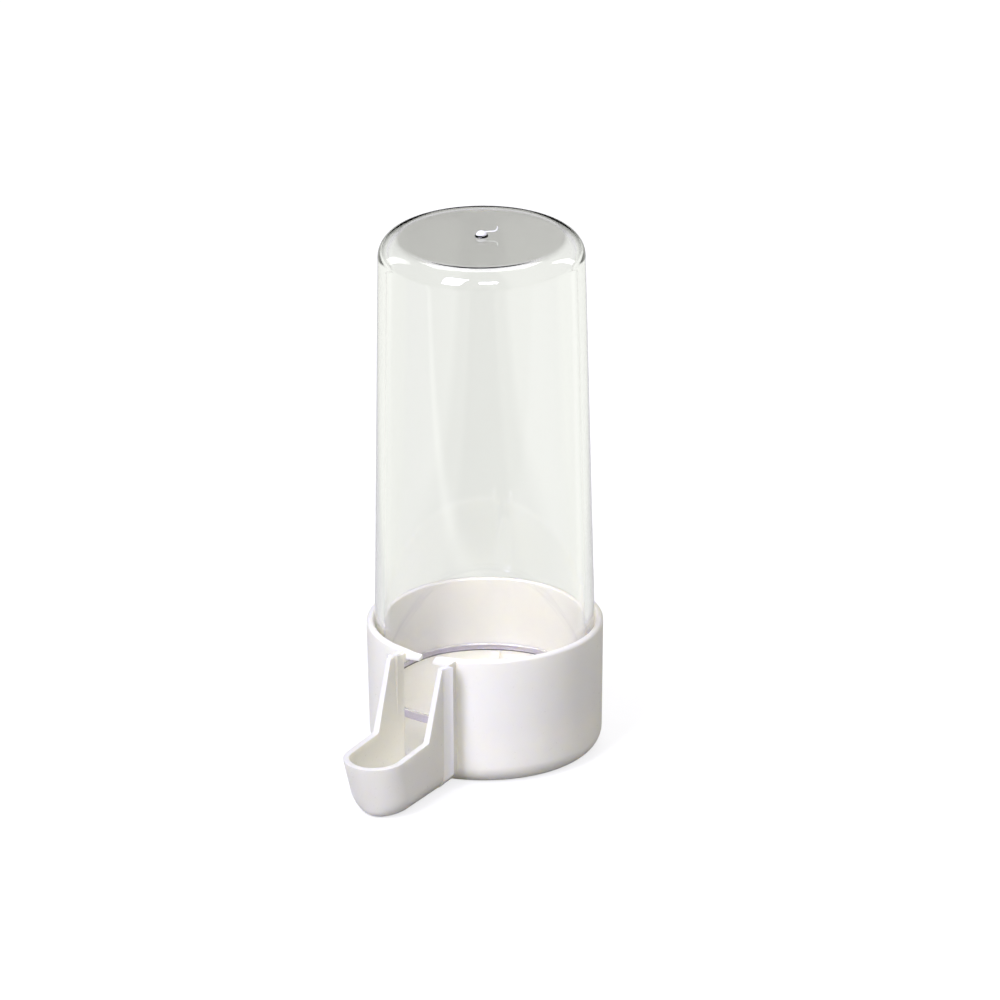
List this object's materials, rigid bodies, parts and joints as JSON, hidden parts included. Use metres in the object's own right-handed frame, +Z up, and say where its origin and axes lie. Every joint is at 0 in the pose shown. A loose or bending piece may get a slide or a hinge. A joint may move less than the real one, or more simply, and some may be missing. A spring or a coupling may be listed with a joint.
{
  "type": "siphon water dispenser for cage birds",
  "caption": "Upright clear tapered tube, closed at the top, standing in a round white cup whose trough spout feeds water to a cage bird; the tube lifts out to be filled.",
  "frame": {"origin": "middle of the base's flat underside, on the tube's axis", "axes": "+Z up along the tube, -Y along the spout, +X to the right when the spout points at the viewer"},
  "size_m": [0.05, 0.0781, 0.115],
  "materials": {
    "white_polystyrene": "moulded, satin gloss",
    "clear_polystyrene": "polished, water clear"
  },
  "bodies": {
    "base": {"drinker_base": "white_polystyrene"},
    "tube": {"water_tube": "clear_polystyrene"}
  },
  "joints": [
    {"name": "tube_lift", "type": "slide", "parent": "base", "child": "tube", "axis": [0, 0, 1], "range_m": [0, 0.025]}
  ]
}
